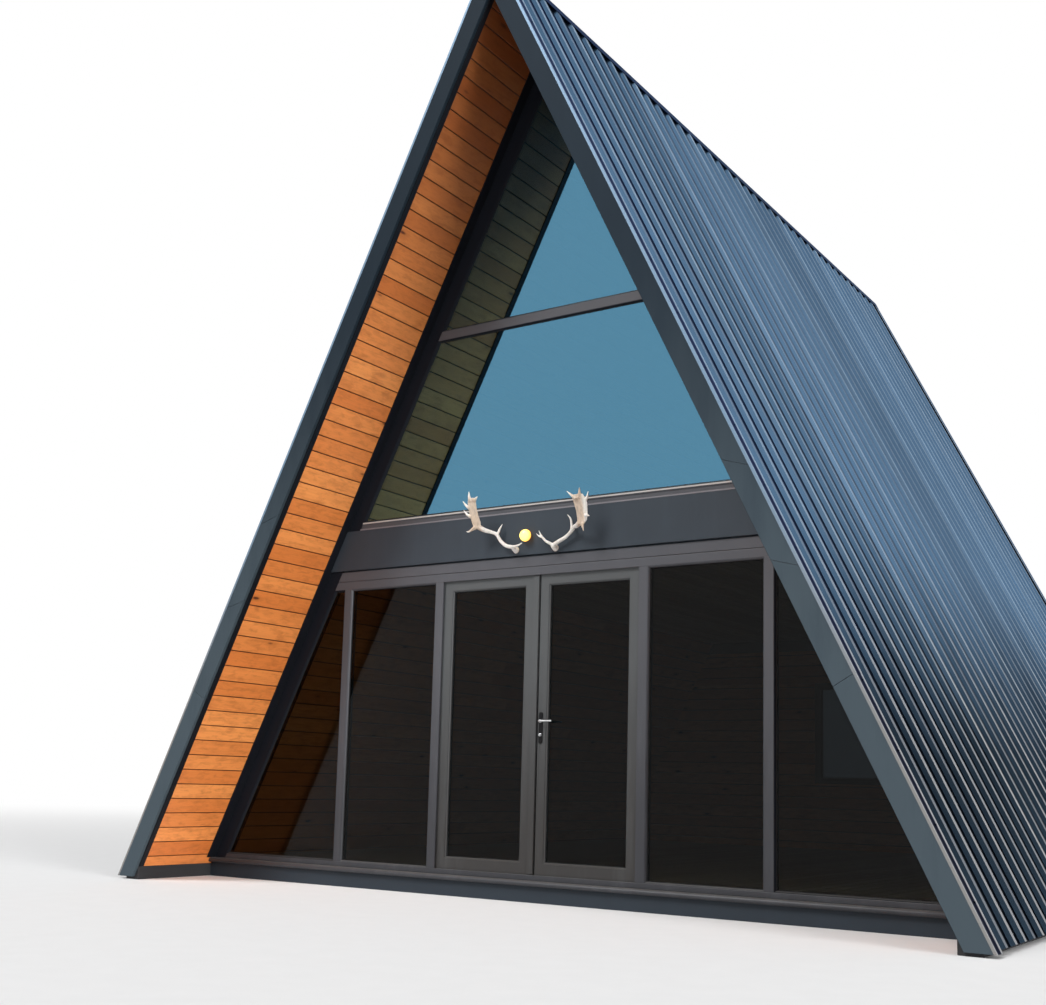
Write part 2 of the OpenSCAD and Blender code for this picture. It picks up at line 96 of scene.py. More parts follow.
# Planes across the building and heights, read from the frame
FRONT_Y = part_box("front_fascia_left")[0].y
REAR_END_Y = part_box("rear_fascia_left")[1].y
FASCIA_BACK_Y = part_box("front_fascia_left")[1].y
FASCIA_T = FASCIA_BACK_Y - FRONT_Y
WALL_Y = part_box("mullions")[0].y
WALL_BACK_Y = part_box("mullions")[1].y
REAR_IN_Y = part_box("rear_wall_lower")[0].y
REAR_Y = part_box("rear_wall_lower")[1].y
BAND_FACE_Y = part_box("band")[0].y
SOLE_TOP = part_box("sole_beams")[1].z
GLASS_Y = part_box("ground_glass")[0].y
GLASS_BACK_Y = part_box("ground_glass")[1].y
GLASS_Z0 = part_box("mullions")[0].z
HEAD_Z0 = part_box("mullions")[1].z
LEAF_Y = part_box("door_right_leaf")[0].y

# Stained boards: cover width, the fifth and the first joint up the slope, the groove and the gap
BOARD_W = 0.12634
FIFTH_JOINT = 0.901
FIRST_JOINT = FIFTH_JOINT - 5 * BOARD_W
GROOVE = 0.0060
JOINT_GAP = 0.0005

# Glazed front: thickness of a leaf, half the opening, width of a jamb, place and width of the outer
# mullions
LEAF_T = 0.060
DOOR_HALF = 0.830
JAMB_W = 0.070
OUTER_X = 1.740
OUTER_W = 0.065

# Handle and lamp: middle of the spindle on the leaf's face, the lock below it, middle of the lamp
SPINDLE = Vector((0.056, LEAF_Y, 1.247))
LOCK_DROP = 0.096
LAMP_CENTRE = Vector((-0.077, BAND_FACE_Y, 2.571))


def plane_x(z, off):
    """Distance from the middle of a plane that lies off below the outer roof plane."""
    return HALF_W * (1 - z / RIDGE_H) - off / SIN


def on_slope(side, s, off, y):
    """Point s up the slope and off below the outer roof plane; side is -1 left, 1 right."""
    return Vector((side * (HALF_W - s * COS - off * SIN), y, s * SIN - off * COS))


# Materials
class Nodes:
    """Short calls for the nodes of one tree; a value is a node's output or a plain number or colour."""

    def __init__(self, tree):
        self.tree = tree

    def node(self, kind, **props):
        made = self.tree.nodes.new(kind)
        for key, value in props.items():
            setattr(made, key, value)
        return made

    def put(self, socket, value):
        if isinstance(value, bpy.types.NodeSocket):
            self.tree.links.new(value, socket)
        elif hasattr(value, "__len__") and len(value) == 3 and socket.type == "RGBA":
            socket.default_value = (*value, 1)
        else:
            socket.default_value = value

    def fill(self, made, **values):
        """Puts values into a node's inputs by name, with _ for a space."""
        for socket, value in values.items():
            self.put(made.inputs[socket.replace("_", " ")], value)

    def math(self, operation, a, b=0.0):
        made = self.node("ShaderNodeMath", operation=operation)
        self.put(made.inputs[0], a)
        self.put(made.inputs[1], b)
        return made.outputs[0]

    def add(self, a, b):
        return self.math("ADD", a, b)

    def minus(self, a, b):
        return self.math("SUBTRACT", a, b)

    def times(self, a, b):
        return self.math("MULTIPLY", a, b)

    def within(self, value, rise, fall):
        """1 where value has passed the band rise and not yet the band fall."""
        return self.minus(self.step(value, *rise), self.step(value, *fall))

    def split(self, vector):
        made = self.node("ShaderNodeSeparateXYZ")
        self.put(made.inputs[0], vector)
        return made.outputs

    def coords(self, kind="Object"):
        return self.node("ShaderNodeTexCoord").outputs[kind]

    def attribute(self, name, output):
        return self.node("ShaderNodeAttribute", attribute_name=name).outputs[output]

    def grey(self, value):
        return self.vector(value, value, value)

    def vector(self, x, y, z):
        made = self.node("ShaderNodeCombineXYZ")
        for socket, value in zip(made.inputs, (x, y, z)):
            self.put(socket, value)
        return made.outputs[0]

    def slope_parts(self, source):
        """Splits a vector into up the slope, along the ridge and out of the roof, for both sides."""
        x, y, z = self.split(source)
        away = self.math("ABSOLUTE", x)
        up = self.minus(self.times(z, SIN), self.times(away, COS))
        out = self.add(self.times(away, SIN), self.times(z, COS))
        return up, y, out

    def slope_place(self, *scale):
        """Coordinates up the slope, along the ridge and out of the roof, each with its scale."""
        return self.scaled(self.vector(*self.slope_parts(self.coords())), scale)

    def scaled(self, vector, scale):
        made = self.node("ShaderNodeMapping")
        self.fill(made, Vector=vector, Scale=scale)
        return made.outputs[0]

    def place(self, scale=(1, 1, 1)):
        return self.scaled(self.coords(), scale)

    def noise(self, vector, scale=1.0, detail=3.0, rough=0.5, distortion=0.0):
        made = self.node("ShaderNodeTexNoise")
        self.fill(made, Vector=vector, Scale=scale, Detail=detail, Roughness=rough, Distortion=distortion)
        return made.outputs["Fac"]

    def chance(self, number):
        """A steady random value for each number."""
        made = self.node("ShaderNodeTexWhiteNoise", noise_dimensions="1D")
        self.put(made.inputs["W"], number)
        return made.outputs["Value"]

    def ramp(self, fac, *stops):
        """stops are (place, grey)."""
        made = self.node("ShaderNodeValToRGB")
        self.put(made.inputs[0], fac)
        points = made.color_ramp.elements
        while len(points) < len(stops):
            points.new(0.5)
        for point, (place, grey) in zip(points, stops):
            point.position = place
            point.color = (grey, grey, grey, 1)
        return made.outputs[0]

    def mix(self, fac, a, b, blend="MIX"):
        made = self.node("ShaderNodeMix", data_type="RGBA", blend_type=blend)
        self.fill(made, Factor=fac, A=a, B=b)
        return made.outputs["Result"]

    def range(self, fac, low, high):
        """Spreads a value from 0..1 over low..high."""
        made = self.node("ShaderNodeMapRange")
        self.fill(made, Value=fac, To_Min=low, To_Max=high)
        return made.outputs[0]

    def step(self, value, low, high):
        """0 below low, 1 above high, smooth between."""
        made = self.node("ShaderNodeMapRange", interpolation_type="SMOOTHSTEP")
        self.fill(made, Value=value, From_Min=low, From_Max=high)
        return made.outputs[0]


class Shader(Nodes):
    """A material whose Principled shader is fed by nodes."""

    def __init__(self, name, rough=0.5, **sockets):
        self.mat = bpy.data.materials.new(name)
        self.mat.use_nodes = True
        super().__init__(self.mat.node_tree)
        self.bsdf = self.tree.nodes["Principled BSDF"]
        self.fill(self.bsdf, Roughness=rough, **sockets)

    def set(self, socket, value):
        self.put(self.bsdf.inputs[socket], value)

    def mix_surface(self, fac, other):
        """Shows another shader node instead of the Principled one where fac is 1."""
        both = self.node("ShaderNodeMixShader")
        for socket, value in zip(both.inputs, (fac, self.bsdf.outputs[0], other.outputs[0])):
            self.put(socket, value)
        self.put(self.tree.nodes["Material Output"].inputs["Surface"], both.outputs[0])

    def bump(self, height, distance, strength=1.0):
        made = self.node("ShaderNodeBump")
        self.fill(made, Height=height, Distance=distance, Strength=strength)
        self.set("Normal", made.outputs[0])


def shade(colour, factor):
    return tuple(c * factor for c in colour)


def wood(name, pale, deep, knot, rough=0.45, knots=1.0, apex_shade=0.0):
    """Boards with grain, knots, own tone and dark joints, and by a given share painted shade high under
    the ridge.
    """
    apex_shade_z = (3.3, 6.4)
    sh = Shader(name, rough)
    grain = sh.attribute("grain", "Vector")
    tone = sh.attribute("tone", "Fac")
    broad = sh.noise(sh.scaled(grain, (0.8, 11, 14)), 1.0, 3, 0.5, 0.8)
    streaks = sh.noise(sh.scaled(grain, (2.2, 85, 60)), 1.0, 4, 0.55, 0.5)
    fibres = sh.noise(sh.scaled(grain, (14, 620, 400)), 1.0, 2, 0.6)
    base = sh.mix(tone, deep, pale)
    base = sh.mix(sh.ramp(broad, (0.4, 0.0), (0.8, 0.35)), base, shade(deep, 0.75))
    base = sh.mix(sh.ramp(streaks, (0.48, 0.0), (0.8, 0.3)), base, shade(deep, 0.6))
    base = sh.mix(sh.ramp(fibres, (0.45, 0.0), (0.8, 0.18)), base, shade(pale, 1.15))
    mottle = sh.noise(sh.scaled(grain, (9, 26, 20)), 1.0, 4, 0.6, 0.4)
    base = sh.mix(sh.ramp(mottle, (0.46, 0.0), (0.7, 0.55)), base, shade(deep, 0.62))
    cells = sh.node("ShaderNodeTexVoronoi")
    sh.fill(cells, Vector=sh.scaled(grain, (2.6, 8.0, 3.0)), Scale=1.0)
    chosen = sh.math("GREATER_THAN", sh.split(cells.outputs["Color"])[0], 1 - 0.5 * knots)
    heart = sh.times(sh.ramp(cells.outputs["Distance"], (0.05, 1.0), (0.11, 0.0)), chosen)
    halo = sh.times(sh.ramp(cells.outputs["Distance"], (0.08, 0.5), (0.26, 0.0)), chosen)
    base = sh.mix(halo, base, shade(deep, 0.6))
    base = sh.mix(heart, base, knot)
    # Painted shade: boards high under the ridge darken towards the knot colour
    painted_apex_shade = sh.times(sh.step(sh.split(sh.coords())[2], *apex_shade_z), apex_shade)
    base = sh.mix(painted_apex_shade, base, shade(knot, 0.9))
    joint = sh.step(sh.attribute("edge", "Fac"), 0.05, 0.8)
    base = sh.mix(sh.times(joint, 0.9), base, shade(knot, 0.35))
    sh.set("Base Color", base)
    sh.set("Roughness", sh.range(streaks, rough - 0.08, rough + 0.1))
    height = sh.add(sh.times(streaks, 0.6), sh.times(fibres, 0.4))
    sh.bump(height, 0.0005)
    return sh.mat


DUST = (0.20, 0.19, 0.17)


def painted(name, colour, rough, spread=0.12, dust=0.2, level=0.28, grain=0.0003, toned=False, low=None):
    """Factory paint: clouds, rain marks, orange peel and dust on upward faces.

    low is (tone, height it holds up to, height where it ends), a tone that takes over near the ground.
    """
    sh = Shader(name, rough, Specular_IOR_Level=level)
    place = sh.place()
    clouds = sh.noise(place, 1.7, 4, 0.6)
    marks = sh.noise(sh.place((9, 9, 1.1)), 1.0, 5, 0.65)
    fine = sh.noise(place, 260.0, 2, 0.5)
    base = sh.mix(clouds, shade(colour, 1 - spread), shade(colour, 1 + spread))
    # Near the ground another tone: on the fascias a lighter painted reflection, on frames and doors
    # darker towards the bottom
    if low:
        tone, holds_to, ends = low
        height = sh.add(sh.split(sh.coords())[2], sh.range(marks, -0.4, 0.4))
        base = sh.mix(sh.step(height, holds_to, ends), tone, base)
    base = sh.mix(sh.ramp(marks, (0.5, 0.0), (0.85, 0.35)), base, shade(colour, 1 + 2 * spread))
    if toned:
        own = sh.range(sh.attribute("tone", "Fac"), 0.90, 1.08)
        base = sh.mix(1.0, base, sh.grey(own), "MULTIPLY")
    facing_up = sh.step(sh.split(sh.coords("Normal"))[2], 0.55, 1.0)
    film = sh.times(facing_up, sh.range(marks, dust, dust + 0.3))
    base = sh.mix(film, base, DUST)
    sh.set("Base Color", base)
    sh.set("Roughness", sh.range(sh.noise(place, 9.0, 4, 0.6), rough - 0.05, rough + 0.08))
    sh.bump(fine, grain, 0.5)
    return sh.mat


def roof_metal(name, pan, flank, glint, foot_glint, edge_tint, rough):
    """Coated roof steel: a tint per sheet and streaks; painted highlights on the rib tops, most on the
    laps, and along the verge; flanks lighter as painted reflection; darker towards the foot as painted
    dark reflection.
    """
    rib_depth, wing_height, cap_height = (-0.008, -0.002), (0.0003, 0.0008), (0.0025, 0.0035)
    lip_in, outer_fold = (0.0005, 0.002), (0.014, 0.020)
    inner_fold = (VERGE_W - 0.032, VERGE_W - 0.026)
    sh = Shader(name, rough, Specular_Tint=edge_tint)
    _, y, z = sh.split(sh.coords())
    sheet = sh.math("FLOOR", sh.math("DIVIDE", sh.minus(y, FRONT_Y + SHEET_EDGE), SHEET_W))
    own = sh.chance(sheet)
    rib = sh.math("ROUND", sh.math("DIVIDE", sh.minus(y, FRONT_Y + EDGE_STRIP), RIB_PITCH))
    lap = sh.math("LESS_THAN", sh.math("FLOORED_MODULO", sh.add(rib, 0.5), SHEET_RIBS), 1.0)
    # Strength of the painted highlight on each rib top: full on the laps, random on the other ribs
    glint_strength = sh.math("MAXIMUM", lap, sh.range(sh.chance(rib), 0.55, 0.95))
    streaks = sh.noise(sh.slope_place(0.35, 26, 4), 1.0, 4, 0.62)
    film = sh.noise(sh.slope_place(0.8, 2.5, 2), 1.0, 5, 0.6)
    level = sh.step(sh.slope_parts(sh.coords("Normal"))[2], 0.72, 0.97)
    height = sh.minus(sh.slope_parts(sh.coords())[2], HALF_W * SIN)
    on_rib = sh.times(sh.within(height, rib_depth, wing_height), glint_strength)
    # Painted highlights along the verge wing's outer and inner folds and along its lip
    inwards = sh.minus(-FRONT_Y, sh.math("ABSOLUTE", y))
    folds = sh.add(sh.minus(1.0, sh.step(inwards, *outer_fold)), sh.step(inwards, *inner_fold))
    wing = sh.times(sh.within(height, wing_height, cap_height), folds)
    lip = sh.minus(1.0, sh.math("MAXIMUM", sh.step(inwards, *lip_in), sh.step(height, *cap_height)))
    # top gathers the painted highlights, broken up by the streaks
    top = sh.times(level, sh.add(on_rib, wing))
    top = sh.times(sh.math("MAXIMUM", top, sh.times(lip, 0.7)), sh.range(streaks, 0.7, 1.0))
    drift = sh.add(z, sh.range(film, -0.5, 0.5))
    high = sh.step(drift, 0.9, 3.0)
    # Lap ribs a little lighter as painted highlight; flanks keep a lighter blue than the level faces, as
    # painted reflection
    base = sh.mix(sh.times(lap, 0.14), flank, shade(glint, 0.6))
    base = sh.mix(level, base, pan)
    base = sh.mix(sh.ramp(streaks, (0.5, 0.0), (0.85, 0.22)), base, shade(flank, 2.2))
    base = sh.mix(sh.ramp(film, (0.45, 0.0), (0.85, 0.35)), base, shade(flank, 0.6))
    # Painted dark reflection: darker towards the foot
    base = sh.mix(high, shade(pan, 0.2), base)
    # The painted highlights, warmer near the foot, and less metallic so that they stay bright
    base = sh.mix(top, base, sh.mix(high, foot_glint, glint))
    base = sh.mix(1.0, base, sh.grey(sh.range(own, 0.86, 1.12)), "MULTIPLY")
    sh.set("Base Color", base)
    sh.set("Metallic", sh.range(top, 0.92, 0.30))
    sh.set("Roughness", sh.range(film, rough - 0.06, rough + 0.12))
    sh.bump(sh.noise(sh.slope_place(1.1, 8, 4), 1.0, 3, 0.5), 0.003, 0.3)
    return sh.mat


def glass(name, tint, ior, level=0.5, mirror=(1, 1, 1)):
    """Tinted double glazing that lets the lamps through, with a faint ripple."""
    sh = Shader(name, 0.0, Transmission_Weight=1.0, IOR=ior)
    sh.fill(sh.bsdf, Specular_IOR_Level=level, Specular_Tint=mirror)
    ripple = sh.noise(sh.place((0.7, 0.7, 0.7)), 1.0, 2, 0.4)
    sh.set("Base Color", sh.mix(ripple, shade(tint, 0.92), shade(tint, 1.08)))
    sh.bump(ripple, 0.001, 0.25)
    clear = sh.node("ShaderNodeBsdfTransparent")
    sh.put(clear.inputs["Color"], tint)
    sh.mix_surface(sh.node("ShaderNodeLightPath").outputs["Is Shadow Ray"], clear)
    return sh.mat


def brushed(name, colour, rough):
    sh = Shader(name, rough, Metallic=1.0)
    lines = sh.noise(sh.place((40, 900, 900)), 1.0, 3, 0.6)
    sh.set("Base Color", sh.mix(sh.noise(sh.place(), 30, 3), shade(colour, 0.85), colour))
    sh.set("Roughness", sh.range(lines, rough - 0.1, rough + 0.12))
    sh.bump(lines, 0.0002, 0.4)
    return sh.mat


def bone_material(name, limb_colour, palm_colour, root_colour):
    """Old antler: near-white limbs and tips, tan palms with fine flutes, darker roots."""
    palm_from, palm_to, tip_z, root_out = (0.385, 0.425), (0.470, 0.505), (2.83, 2.88), (0.0, 0.03)
    sh = Shader(name, 0.55, Subsurface_Weight=0.08, Subsurface_Radius=(0.01, 0.006, 0.003))
    x, y, z = sh.split(sh.coords())
    away = sh.math("ABSOLUTE", x)
    broad = sh.noise(sh.place(), 14, 4, 0.6)
    flutes = sh.noise(sh.place((70, 60, 16)), 1.0, 4, 0.6, 0.5)
    below_tips = sh.minus(1.0, sh.step(z, *tip_z))
    tan = sh.times(sh.times(sh.within(away, palm_from, palm_to), below_tips), sh.range(broad, 0.45, 1.0))
    base = sh.mix(tan, limb_colour, palm_colour)
    fluted = sh.mix(tan, shade(limb_colour, 0.75), root_colour)
    base = sh.mix(sh.ramp(flutes, (0.42, 0.0), (0.68, 0.75)), base, fluted)
    near_root = sh.minus(1.0, sh.step(sh.minus(BAND_FACE_Y, y), *root_out))
    base = sh.mix(sh.times(near_root, 0.5), base, root_colour)
    sh.set("Base Color", base)
    sh.bump(flutes, 0.0022, 0.6)
    return sh.mat


def rubber(name):
    sh = Shader(name, 0.7, Specular_IOR_Level=0.25)
    fine = sh.noise(sh.place(), 420, 2)
    sh.set("Base Color", sh.mix(fine, (0.004, 0.004, 0.005), (0.012, 0.012, 0.013)))
    sh.bump(fine, 0.0003, 0.5)
    return sh.mat


def core_board(name, colour):
    """Rough boards and beams that hardly show."""
    sh = Shader(name, 0.8, Specular_IOR_Level=0.3)
    grain = sh.noise(sh.place((30, 3, 30)), 1.0, 4, 0.6)
    sh.set("Base Color", sh.mix(grain, shade(colour, 0.7), shade(colour, 1.25)))
    sh.bump(grain, 0.001, 0.6)
    return sh.mat


def glow(name, colour, warm, strength):
    """Frosted lamp glass, yellow at the bulb and orange towards its rim."""
    rim_out, face_out = 0.012, 0.055
    sh = Shader(name, 0.3)
    out = sh.minus(BAND_FACE_Y, sh.split(sh.coords())[1])
    haze = sh.noise(sh.place(), 40, 2)
    face = sh.times(sh.step(out, rim_out, face_out), sh.range(haze, 0.8, 1.0))
    light = sh.mix(face, warm, colour)
    sh.set("Base Color", light)
    sh.set("Emission Color", light)
    sh.set("Emission Strength", strength)
    return sh.mat


# The last value is the share of painted shade high under the ridge
STAINED = wood("stained_boards", (0.92, 0.340, 0.092), (0.70, 0.195, 0.040), (0.10, 0.025, 0.008),
               0.45, 1.2, 0.80)
FLOORING = wood("floor_boards", (0.45, 0.30, 0.16), (0.30, 0.18, 0.08), (0.08, 0.04, 0.015), 0.4, 0.5)
# Colours: pans, flanks lighter as painted reflection, painted highlights on the rib tops above and at the
# foot
ROOF = roof_metal("roof_metal", (0.030, 0.050, 0.074), (0.046, 0.086, 0.140), (0.26, 0.37, 0.49),
                  (0.44, 0.42, 0.40), (0.11, 0.23, 0.40), 0.32)
# The fascia's lighter tone near the ground is painted reflection
FASCIA = painted("fascia_paint", (0.016, 0.025, 0.035), 0.45, 0.10, 0.2, 0.05, toned=True,
                 low=((0.060, 0.080, 0.095), 1.4, 4.4))
BLACK = painted("black_trim", (0.006, 0.007, 0.010), 0.5, 0.2, 0.05, 0.2)
PLINTH = painted("plinth_paint", (0.022, 0.030, 0.040), 0.55, 0.15, 0.2, 0.25, 0.0006)
# Frame and door paint get darker towards the bottom
FRAME = painted("frame_paint", (0.086, 0.088, 0.099), 0.42, 0.08, 0.15,
                low=((0.040, 0.041, 0.047), 0.3, 2.0))
RAFTER = painted("rafter_paint", (0.009, 0.011, 0.016), 0.5, 0.15, 0.1, 0.1)
BAND = painted("band_paint", (0.036, 0.047, 0.060), 0.5, 0.18, 0.2, 0.25)
DOOR = painted("door_paint", (0.088, 0.093, 0.096), 0.42, 0.08, 0.15,
               low=((0.038, 0.036, 0.035), 0.3, 2.0))
NOSING = painted("nosing_metal", (0.50, 0.48, 0.46), 0.4, 0.08, 0.2)
LOW_NOSING = painted("low_nosing_metal", (0.24, 0.23, 0.25), 0.4, 0.08, 0.2)
DARK_GLASS = glass("tinted_glass", (0.20, 0.23, 0.235), 1.20)
REAR_GLASS = glass("rear_tinted_glass", (0.025, 0.030, 0.036), 1.20)
# The gable panes' strong, blue-tinted reflection is painted sky reflection
BLUE_GLASS = glass("painted_sky_reflection_glass", (0.13, 0.17, 0.20), 3.6, 1.0, (0.25, 0.67, 1.0))
STEEL = brushed("hinge_steel", (0.55, 0.56, 0.57), 0.35)
PLATE = painted("plate_metal", (0.006, 0.006, 0.007), 0.35, 0.1, 0.1, 0.15)
LEVER = brushed("lever_steel", (0.52, 0.53, 0.54), 0.3)
BONE = bone_material("bone", (0.88, 0.84, 0.78), (0.62, 0.44, 0.29), (0.30, 0.19, 0.11))
SEAL = rubber("seal_rubber")
TIMBER = core_board("dark_timber", (0.028, 0.028, 0.030))
RAW = core_board("raw_timber", (0.26, 0.17, 0.09))
CORE = core_board("roof_core", (0.045, 0.045, 0.048))
LAMP = glow("lamp_glass", (1.0, 0.84, 0.22), (1.0, 0.40, 0.05), 1.5)


# Meshes
def new_object(name, data):
    made = bpy.data.objects.new(name, data)
    bpy.context.scene.collection.objects.link(made)
    return made


class Pile:
    """Collects many small solids into one mesh, with board coordinates for the grain."""

    def __init__(self, seed=1):
        self.points, self.faces, self.grain, self.tone, self.edge = [], [], [], [], []
        self.draw = random.Random(seed)

    def loft(self, rings, closed=False, grain=None, tone=0.5, edge=None):
        """Joins rings of equally many points; closed joins the last ring to the first."""
        start, count = len(self.points), len(rings[0])
        total = count * len(rings)
        for ring in rings:
            self.points.extend(ring)
        self.grain.extend(grain or [tuple(p) for ring in rings for p in ring])
        self.tone.extend([tone] * total)
        self.edge.extend(edge or [0.0] * total)
        for r in range(len(rings) if closed else len(rings) - 1):
            a, b = start + r * count, start + (r + 1) % len(rings) * count
            for i in range(count):
                j = (i + 1) % count
                self.faces.append((a + i, a + j, b + j, b + i))
        if not closed:
            self.faces.append(tuple(range(start + count - 1, start - 1, -1)))
            self.faces.append(tuple(range(start + total - count, start + total)))

    def board(self, profile, ends):
        """A board: profile holds (across, depth, edge) points; ends map the first two to a point."""
        shift = [self.draw.uniform(0, reach) for reach in (40, 9, 9)]
        rings = [[end(a, d) for a, d, _ in profile] for end in ends]
        run = (rings[1][0] - rings[0][0]).length
        grain = [
            (shift[0] + along * run, shift[1] + a, shift[2] + d)
            for along in (0, 1)
            for a, d, _ in profile
        ]
        self.loft(rings, False, grain, self.draw.random(), [e for _, _, e in profile] * 2)

    def build(self, name, material, body="cabin", slot=None, smooth=None):
        mesh = bpy.data.meshes.new(name)
        mesh.from_pydata([tuple(p) for p in self.points], [], self.faces)
        place = mesh.attributes.new("grain", "FLOAT_VECTOR", "POINT")
        place.data.foreach_set("vector", [c for g in self.grain for c in g])
        for label, values in (("tone", self.tone), ("edge", self.edge)):
            mesh.attributes.new(label, "FLOAT", "POINT").data.foreach_set("value", values)
        mesh.update()
        fix_normals(mesh)
        made = new_object(name, mesh)
        mesh.materials.append(material)
        if smooth:
            mesh.shade_smooth()
            mesh.set_sharp_from_angle(angle=math.radians(smooth))
        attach(made, body)
        return made


def fix_normals(mesh):
    """Turns every shell's faces outwards."""
    work = bmesh.new()
    work.from_mesh(mesh)
    bmesh.ops.recalc_face_normals(work, faces=work.faces)
    work.to_mesh(mesh)
    work.free()


def round_edges(obj, width, segments=2):
    """Rounds sharp edges; the construction's meshes come unwelded, so they are welded first."""
    weld = obj.modifiers.new("weld", "WELD")
    weld.merge_threshold = 0.00001
    edge = obj.modifiers.new("edge", "BEVEL")
    edge.width = width
    edge.segments = segments
    edge.limit_method = "ANGLE"
    edge.angle_limit = math.radians(32)


def circle(sides, spin=0.0):
    """Cosine and sine of equal steps round a circle."""
    angles = [spin + k * math.tau / sides for k in range(sides)]
    return [(math.cos(a), math.sin(a)) for a in angles]


def lathe(pile, centre, way, profile, sides=32):
    """Turned solid on an axis along Y; profile holds (radius, distance towards way)."""
    pile.loft([
        [centre + Vector((radius * c, way * out, radius * s)) for c, s in circle(sides)]
        for radius, out in profile
    ])


def board_profile(low, high, face, back, groove_low=True, groove_high=True):
    """Cross section of a board between two joints, its visible face at depth face."""
    out = 1 if face > back else -1
    sunk = face - out * GROOVE
    a, b = low + JOINT_GAP, high - JOINT_GAP
    points = [(a, back, 1.0)]
    points += [(a, sunk, 1.0), (a + GROOVE, face, 0.0)] if groove_low else [(a, face, 0.0)]
    points += [(b - GROOVE, face, 0.0), (b, sunk, 1.0)] if groove_high else [(b, face, 0.0)]
    points.append((b, back, 1.0))
    return points


# Soffit and inner lining of the roof
def lining(side, name):
    """Boards along the ridge from the front fascia to the rear one, with staggered joints inside."""
    pile = Pile(11 if side < 0 else 23)
    face, back = ROOF_T, ROOF_T - LINING_T
    behind_fascia, behind_front, behind_rear = 0.021, 0.040, 0.050
    wall_in, wall_out = WALL_Y + behind_front, REAR_Y - behind_rear
    low = FIRST_JOINT - BOARD_W
    while low < (HALF_W - face * SIN) / COS:
        profile = [
            (min(max(s, (SOLE_TOP + off * COS) / SIN), (HALF_W - off * SIN) / COS), off, e)
            for s, off, e in board_profile(low, low + BOARD_W, face, back)
        ]
        middle = wall_in + (wall_out - wall_in) * pile.draw.uniform(0.3, 0.7)
        first, last = FASCIA_BACK_Y + behind_fascia, REAR_END_Y - FASCIA_T - behind_fascia
        stops = [first, wall_in, middle, wall_out, last]
        for y0, y1 in zip(stops, stops[1:]):
            pile.board(profile, [
                lambda s, off, y=y: on_slope(side, s, off, y)
                for y in (y0 + JOINT_GAP, y1 - JOINT_GAP)
            ])
        low += BOARD_W
    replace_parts(pile.build(name + "_boards", STAINED, slot="stained_boards"), name)


lining(-1, "roof_lining_left")
lining(1, "roof_lining_right")


# Floors
def floor_layer(pile, back, face, y0, y1, width):
    """Boards along the building, their good side at height face, the outer ones ripped to the slope."""
    reach = plane_x(min(back, face), ROOF_T)
    count = math.ceil(reach / width)
    for i in range(-count, count):
        profile = [
            (max(min(x, plane_x(z, ROOF_T)), -plane_x(z, ROOF_T)), z, e)
            for x, z, e in board_profile(i * width, (i + 1) * width, face, back)
        ]
        cut = y0 + (y1 - y0) * pile.draw.uniform(0.25, 0.75)
        for a, b in ((y0, cut), (cut, y1)):
            pile.board(profile, [lambda x, z, y=y: Vector((x, y, z)) for y in (a, b)])


def floors():
    board_t, floor_w, core_in = 0.022, 0.120, 0.002
    low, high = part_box("floor_deck")
    deck = Pile(31)
    floor_layer(deck, low.z, high.z, low.y, high.y, floor_w)
    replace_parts(deck.build("floor_deck_boards", FLOORING, slot="floor_boards"), "floor_deck")
    low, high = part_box("loft_floor")
    loft = Pile(37)
    floor_layer(loft, high.z - board_t, high.z, low.y, high.y, floor_w)
    floor_layer(loft, low.z + LINING_T, low.z, low.y, high.y, BOARD_W)
    z0, z1 = low.z + LINING_T, high.z - board_t
    x0, x1 = plane_x(low.z, ROOF_T), plane_x(high.z, ROOF_T)
    core = [(-x0, z0), (x0, z0), (x1, z1), (-x1, z1)]
    loft.loft([[Vector((x, y, z)) for x, z in core] for y in (low.y + core_in, high.y - core_in)])
    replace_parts(loft.build("loft_floor_boards", FLOORING, slot="floor_boards"), "loft_floor")


floors()


# Rear wall: level boards outside and inside on a core, cut round the windows. Each window is given by
# its foot, its head and half its width, and the top by half the width of the last board
REAR_WINDOWS = {"rear_wall_lower": (0.900, 2.050, 0.600), "rear_wall_upper": (3.150, 4.150, 0.450)}
TOP_HALF = 0.01
WALL_TOP = RIDGE_H * (1 - (ROOF_T / SIN + TOP_HALF) / HALF_W)


def wall_end(x, z, side):
    """Where a board or core ends: at x, or at the slope on that side where x is None."""
    return side * plane_x(z, ROOF_T) if x is None else x


def wall_rows(pile, node, face, back):
    """Rows of level boards between two depths, stopped at the slopes and at the window."""
    low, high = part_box(node)
    hole_z0, hole_z1, hole_x = REAR_WINDOWS[node]
    top = min(high.z, WALL_TOP)
    z = low.z
    while z < top:
        row_top = min(z + BOARD_W, top)
        edges = [z] + [e for e in (hole_z0, hole_z1) if z < e < row_top] + [row_top]
        for a, b in zip(edges, edges[1:]):
            profile = [(h, y, e) for h, y, e in board_profile(a, b, face, back, a == z, b == row_top)]
            beside_hole = hole_z0 < (a + b) / 2 < hole_z1
            for x0, x1 in ([(None, -hole_x), (hole_x, None)] if beside_hole else [(None, None)]):
                pile.board(profile, [
                    lambda h, y, x=x0: Vector((wall_end(x, h, -1), y, h)),
                    lambda h, y, x=x1: Vector((wall_end(x, h, 1), y, h)),
                ])
        z += BOARD_W


def wall_core(pile, z0, z1, x0, x1):
    """Core between the boards."""
    ring = [(wall_end(x0, z0, -1), z0), (wall_end(x1, z0, 1), z0)]
    ring += [(wall_end(x1, z1, 1), z1), (wall_end(x0, z1, -1), z1)]
    pile.loft([[Vector((x, y, z)) for x, z in ring] for y in (REAR_IN_Y + LINING_T, REAR_Y - LINING_T)])


